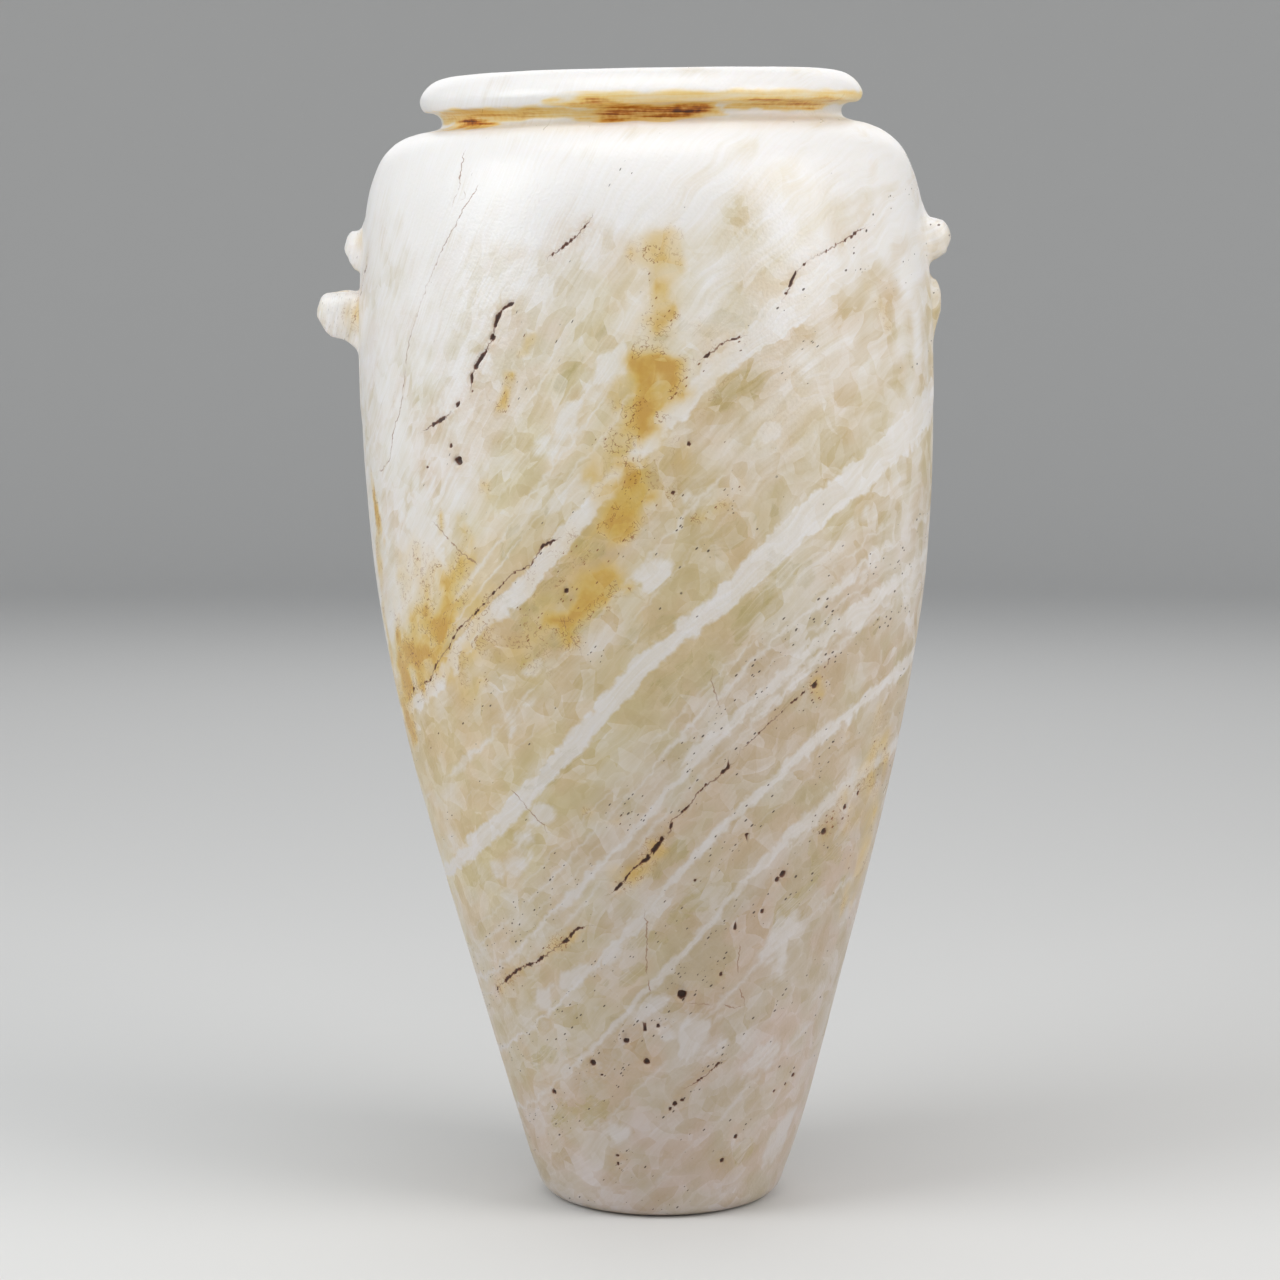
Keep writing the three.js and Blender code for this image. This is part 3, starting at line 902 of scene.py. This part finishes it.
def cells(place, size, seed):
    # Distance from the middle of the nearest grain
    moved = place / size + (seed * 2.3, seed * 4.1, seed * 1.7)
    return place.node("ShaderNodeTexVoronoi", {}, {"Vector": moved, "Scale": 1}, "Distance")


def beside(wire, output):
    # Another output of the same node
    return Wire(wire.tree, wire.socket.node.outputs[output])


def parted(colour):
    # The three channels of a colour or a vector
    first = colour.node("ShaderNodeSeparateXYZ", {}, {0: colour})
    return first, beside(first, 1), beside(first, 2)


def marked(wire, name, output="Fac"):
    return wire.node("ShaderNodeAttribute", {"attribute_name": name}, {}, output)


calcite = {
    "milkAndShade": ((0.615, 0.572, 0.552), (0.81, 0.785, 0.76)),  # low on the jar and high on it; the darker low colour is partly the stone's own tone and partly painted shade on the lower body
    "milkShadeHeights": (40, 380),
    "layers": [  # across the layers, and the colour there; the stops from -205 down are darkened a little further as painted shade on the lower body
        (-345, (0.505, 0.435, 0.4)), (-290, (0.47, 0.383, 0.338)), (-262, (0.483, 0.402, 0.355)),
        (-240, (0.455, 0.35, 0.262)), (-222, (0.45, 0.352, 0.27)), (-205, (0.488, 0.395, 0.275)),
        (-186, (0.491, 0.397, 0.278)), (-168, (0.494, 0.395, 0.271)), (-148, (0.542, 0.461, 0.361)),
        (-128, (0.552, 0.461, 0.348)), (-110, (0.566, 0.463, 0.296)), (-95, (0.578, 0.466, 0.255)),
        (-66, (0.598, 0.471, 0.264)), (-46, (0.627, 0.509, 0.321)), (-22, (0.588, 0.437, 0.227)),
        (-6, (0.598, 0.446, 0.235)), (14, (0.657, 0.548, 0.338)), (40, (0.696, 0.596, 0.399)),
        (66, (0.691, 0.591, 0.379)), (92, (0.72, 0.64, 0.51)), (130, (0.7, 0.62, 0.519)),
        (170, (0.71, 0.65, 0.568)), (215, (0.73, 0.69, 0.627)), (280, (0.745, 0.71, 0.676)),
    ],
    "veins": [  # middle of the vein across the layers, half its thickness, how broken it is, and strength
        (0.5, 6.2, 0.15, 1), (-82.5, 6.6, 0.05, 1), (-60, 1.2, 1, 0.5), (-44, 3.4, 1.1, 0.7),
        (-117, 1.2, 0.5, 0.7), (-126, 2.1, 0.4, 0.8), (-134, 1.2, 0.5, 0.7), (-142, 3.4, 0.3, 0.9),
        (-150, 1.6, 0.5, 0.75), (-180.5, 3.2, 0.35, 0.95), (-193, 1.1, 0.9, 0.5), (-214, 4, 0.4, 0.9),
        (-252, 2.5, 1, 0.7), (-300, 3, 1.1, 0.7), (24, 2, 0.8, 0.7), (38, 2.5, 0.8, 0.7), (60, 2, 0.9, 0.6),
        (84, 2.5, 0.9, 0.6), (150, 4, 0.9, 0.6), (190, 5, 0.9, 0.6),
    ],
    "veinEdge": (-1.3, 2),
    "hues": ((0.63, 0.475, 0.335), (0.55, 0.475, 0.29)),  # warm and green
    "olive": (0.42, 0.34, 0.135),
    "rounded": 6.4,  # size of the rounded crystals
    "drawn": (7.6, (1.5, 1.35, 1.1)),  # and of those drawn out along the layers, with how flat they are
    "bent": 7,
    "scallop": (3.4, 3.6, 0.8),  # how far both, and the fine grain, shift the layers
    "thin": (2.4, 30, 30),  # thin and thick sheets: size across the layers, along them and into the stone
    "thick": (8.5, 70, 70),
    "specks": (1.5, 2.3, 2.3),
    "depthTint": (0.7, 0.95, 1.7),  # deeper crystals are darker, and darkest in blue
    "amber": (0.66, 0.435, 0.066),
    "ochre": (0.50, 0.25, 0.036),
    "rust": (0.27, 0.09, 0.02),
    "grain": (0.05, 0.024, 0.014),
    "pit": ((0.15, 0.048, 0.022), (0.045, 0.017, 0.011)),
    "crack": ((0.30, 0.15, 0.085), (0.12, 0.04, 0.02)),
    "groove": [  # from a faint stain to a thick one, each lighter than the stain itself as painted light against the shade under the lip
        (0, (0.86, 0.74, 0.46)), (0.3, (0.82, 0.56, 0.17)), (0.56, (0.56, 0.2, 0.016)),
        (0.8, (0.26, 0.065, 0.01)), (1, (0.08, 0.028, 0.012)),
    ],
    "dust": ((0.45, 0.37, 0.27), (0.30, 0.235, 0.16)),
    "roughness": 0.34,
    "bumps": (1.3, 0.35),  # size and strength
    "depthOfLight": 0.12,
    "lightReach": (0.0035, (1, 0.75, 0.5)),  # metres, and the share of it for red, green and blue
}


def groundWires(tree):
    # What the finish is worked out from: places on the jar, the layers, and the marks on the mesh
    start, ground = Wire(tree), SimpleNamespace()
    for name in ("pit", "halo", "iron", "groove", "hollow", "crackAcross", "crackNear", "milky", "clear",
                 "cloud", "speck", "hue"):
        setattr(ground, name, marked(start, name))
    ground.place = start.node("ShaderNodeTexCoord", {}, {}, "Object") * 1000
    _, _, ground.height = parted(ground.place)
    ground.layer, drift = marked(start, "layer", "Vector"), marked(start, "drift", "Vector")
    across, ground.along, _ = parted(ground.layer)
    ground.fine = cloud(ground.place, 2, 4, 1.5)
    size, flatness = calcite["drawn"]
    rounded = cells(ground.place + drift * calcite["bent"], calcite["rounded"], 3)
    ground.crystal = cells(ground.layer / flatness + drift * calcite["bent"], size, 8)
    forRounded, forDrawn, forFine = calcite["scallop"]
    ground.scallop = rounded * forRounded + ground.crystal * forDrawn + ground.fine * forFine - 3.4
    ground.across = across + ground.scallop
    ground.tone, ground.pick, _ = parted(beside(ground.crystal, "Color"))
    ground.small, _, _ = parted(beside(rounded, "Color"))
    ground.thin = cloud((ground.layer + drift * 4) / calcite["thin"], 1, 8, 2.5, 0.65)
    ground.thick = cloud(ground.layer / calcite["thick"], 1, 9, 0)
    return ground


def layerColour(ground):
    stops = calcite["layers"]
    low, high = stops[0][0], stops[-1][0]
    position = (ground.across + 3 * ground.thick - low) / (high - low)
    ramp = [((across - low) / (high - low), colour) for across, colour in stops]
    return position.node("ShaderNodeValToRGB", {"stops": ramp}, {"Fac": position})


def veinShare(ground):
    # The white veins, which thicken along the layers and break off here and there
    swell = 0.72 + ground.along / 450 + 0.34 * ground.thick
    breaks = 0.55 + ground.cloud + 0.5 * ground.thick
    share = None
    for middle, half, gaps, strength in calcite["veins"]:
        inside = half * swell - abs(ground.across - middle) - gaps * half * breaks
        vein = stepped(inside, *calcite["veinEdge"]) * strength
        share = vein if share is None else share.most(vein)
    return share


def milkShare(ground):
    patch = stepped(ground.milky - 0.08 * ground.scallop + 0.10 * ground.thin, 0.12, 0.72)
    mosaic = 0.42 * (ground.tone - 0.5) + 0.24 * (ground.small - 0.5)
    mosaic = mosaic * stepped(ground.cloud, 0.9, 0.15)
    soft = 0.11 * ground.thin + 0.12 * ground.thick + 0.85 * ground.cloud + mosaic + 0.1
    solid = veinShare(ground).most(patch * 0.9) * (0.89 + 0.09 * ground.thin + 0.14 * (ground.tone - 0.5))
    return solid.most(soft).most(0).least(1)


def speckMask(ground):
    distance = cells(ground.layer / calcite["specks"], 1, 5)
    pick, size, _ = parted(beside(distance, "Color"))
    radius = 0.1 + 0.3 * size * size
    ragged = distance + 0.07 * ground.fine
    return stepped(ground.speck - pick, 0, 0.02) * stepped(ragged, radius, radius * 0.6)


def addCrystals(ground, colour, milkAndShade, solid):
    # Crystals grown together, each a little different. They show in the clear stone and less in the milky.
    middle, tone, pick = ground.crystal, ground.tone, ground.pick
    facets = 0.15 * (tone - 0.5) + 0.18 * (middle - 0.5) + 0.10 * (ground.small - 0.5)
    warm, green = calcite["hues"]
    colour = mixed(colour, mixed(green, warm, stepped(ground.hue, -0.45, 0.45)), solid * 0.36)
    colour = colour * (1 + (solid * facets + 0.03 * ground.thin) * calcite["depthTint"])
    clear = stepped(ground.clear + 0.42 * (pick - 0.5) + 0.03 * ground.fine, 0.22, 0.46)
    return mixed(colour, calcite["olive"], clear * (0.62 - 0.5 * middle) * (0.2 + 0.8 * solid)), clear


def addIron(ground, colour):
    # Soft stains, thin rusty threads, and the halo of the open seams
    iron = ground.iron * (1 + 0.45 * (ground.tone - 0.5)) + 0.05 * ground.thin
    colour = mixed(colour, calcite["amber"], stepped(iron, 0.06, 0.95) * 0.8)
    colour = mixed(colour, calcite["ochre"], stepped(iron + 0.09 * ground.fine, 0.58, 1.2) * 0.68)
    rusty = stepped(ground.iron + ground.halo * 0.4, 0.12, 0.55) * stepped(ground.pick, 0.4, 0.6)
    threads = stepped(abs(ground.fine + 0.25), 0.12, 0.03)
    colour = mixed(colour, calcite["rust"], threads * rusty * 0.75)
    return mixed(colour, calcite["ochre"], ground.halo * stepped(ground.fine, -1.2, 1.0) * 0.35)


def crackMask(ground):
    broken = stepped(ground.thick + 0.6 * ground.halo, -0.6, 0.1)
    line = stepped(abs(ground.crackAcross + 0.55 * ground.fine), 0.36, 0.1)
    return line * ground.crackNear * broken


def addGroove(ground, colour):
    streaks = cloud(ground.place / (22, 22, 0.8), 1, 20, 2, 0.6)
    depth = ground.groove * (0.52 + 0.34 * streaks + 0.12 * ground.fine)
    # Painted light, in part: the real iron stain in the groove, lightened to make up for the shade under the
    # lip
    stain = depth.node("ShaderNodeValToRGB", {"stops": calcite["groove"]}, {"Fac": depth})
    return mixed(colour, stain, stepped(ground.groove, 0.02, 0.35))


def newMaterial(name):
    material = bpy.data.materials.new(name)
    material.use_nodes = True
    return material, material.node_tree.nodes["Principled BSDF"]


def makeCalcite():
    material, shader = newMaterial("bandedCalcite")
    tree = material.node_tree
    ground = groundWires(tree)
    # Painted shade, in part: the milky colour darkens towards the foot, partly the stone's own tone and
    # partly shade where less light falls
    milkAndShade = mixed(*calcite["milkAndShade"], stepped(ground.height, *calcite["milkShadeHeights"]))
    share = milkShare(ground)
    colour = mixed(layerColour(ground), milkAndShade, share)
    colour, clear = addCrystals(ground, colour, milkAndShade, 1 - share)
    colour = addIron(ground, colour)
    specks, crack = speckMask(ground), crackMask(ground)
    grain = mixed(calcite["grain"], calcite["rust"], stepped(ground.iron, 0.03, 0.35) * 0.85)
    colour = mixed(colour, grain, specks * 0.9)
    colour = mixed(colour, mixed(*calcite["crack"], ground.halo), crack * 0.75)
    colour = addGroove(ground, colour)
    opened = stepped(ground.pit + 0.16 * ground.fine, 0.25, 0.6)
    colour = mixed(colour, mixed(*calcite["pit"], stepped(ground.pit, 0.55, 0.95)), opened * 0.95)
    dust = mixed(*calcite["dust"], stepped(ground.cloud, -0.3, 0.6))
    colour = mixed(colour, dust, ground.hollow * 0.75)
    tree.links.new(colour.socket, shader.inputs["Base Color"])
    roughness = calcite["roughness"] + 0.07 * ground.thin - 0.08 * clear + 0.35 * opened
    roughness = roughness + 0.25 * ground.hollow
    tree.links.new(roughness.socket, shader.inputs["Roughness"])
    size, strength = calcite["bumps"]
    bumps = 0.1 * cloud(ground.place, size, 23, 1)
    normal = bumps.node("ShaderNodeBump", {}, {"Strength": strength, "Distance": mm, "Height": bumps})
    tree.links.new(normal.socket, shader.inputs["Normal"])
    shader.inputs["Subsurface Weight"].default_value = calcite["depthOfLight"]
    reach, shares = calcite["lightReach"]
    shader.inputs["Subsurface Scale"].default_value = reach
    shader.inputs["Subsurface Radius"].default_value = shares
    print("stone finished with", len(tree.nodes), "nodes")
    return material


stone.data.materials.append(makeCalcite())


studio = {
    "flat": (0, 0.4, 1.2),  # radii of rings on the flat floor, in metres, as all lengths here
    "floorRadius": 2.3,
    "sweep": 0.9,
    "height": 1.2,
    "sides": 96,
    "steps": 16,
    "floorColour": (0.69, 0.685, 0.672),
    "floorRoughness": 0.9,
    "sky": (0.93, 0.96, 1),
    "skyStrength": 0.36,
    "lamps": {  # place, what it points at, size, watts and colour
        "left": ((-1.2, -0.62, 0.95), (0, 0, 0.28), (0.8, 1.1), 12.9, (0.95, 0.98, 1)),
        "right": ((1.2, -0.62, 0.95), (0, 0, 0.28), (0.8, 1.1), 11.8, (1, 0.985, 0.965)),
        "back": ((0, 1.6, 1.1), (0, 0, 0.25), (1.8, 1), 5.5, (1, 1, 1)),
        "top": ((0, -0.35, 1.5), (0, 0, 0.35), (1, 0.9), 5.5, (1, 1, 1)),
    },
}


def makeStudio():
    sides, sweep = studio["sides"], studio["sweep"]
    lathe = arc((studio["floorRadius"], sweep), sweep, -90, 0, studio["steps"])
    profile = [*((radius, 0) for radius in studio["flat"]), *lathe, (lathe[-1][0], studio["height"])]
    vertices, faces = [], []
    for radius, height in profile:
        for k in range(sides):
            turn = 2 * math.pi * k / sides
            vertices.append((radius * math.cos(turn), radius * math.sin(turn), height))
    for i in range(len(profile) - 1):
        for k in range(sides):
            a, b = i * sides + k, i * sides + (k + 1) % sides
            faces.append((a, b, b + sides, a + sides))
    mesh = bpy.data.meshes.new("floor")
    mesh.from_pydata(vertices, [], faces)
    mesh.polygons.foreach_set("use_smooth", [True] * len(faces))
    floor = added("floor", mesh)
    material, shader = newMaterial("floorPaint")
    shader.inputs["Base Color"].default_value = (*studio["floorColour"], 1)
    shader.inputs["Roughness"].default_value = studio["floorRoughness"]
    mesh.materials.append(material)
    for name, (spot, target, size, watts, colour) in studio["lamps"].items():
        light = bpy.data.lights.new(name, "AREA")
        light.shape, light.size, light.size_y = "RECTANGLE", *size
        light.energy, light.color = watts, colour
        lamp = added(name, light)
        lamp.location = spot
        lamp.rotation_euler = (Vector(target) - Vector(spot)).to_track_quat("-Z", "Y").to_euler()
        lamp.visible_camera = False
    world = bpy.data.worlds.new("studio")
    world.use_nodes = True
    sky = world.node_tree.nodes["Background"].inputs
    sky["Color"].default_value = (*studio["sky"], 1)
    sky["Strength"].default_value = studio["skyStrength"]
    bpy.context.scene.world = world
    bpy.context.scene.view_settings.view_transform = "Standard"
    bpy.context.scene.cycles.use_light_tree = False  # four lamps need none


makeStudio()
print("studio ready")
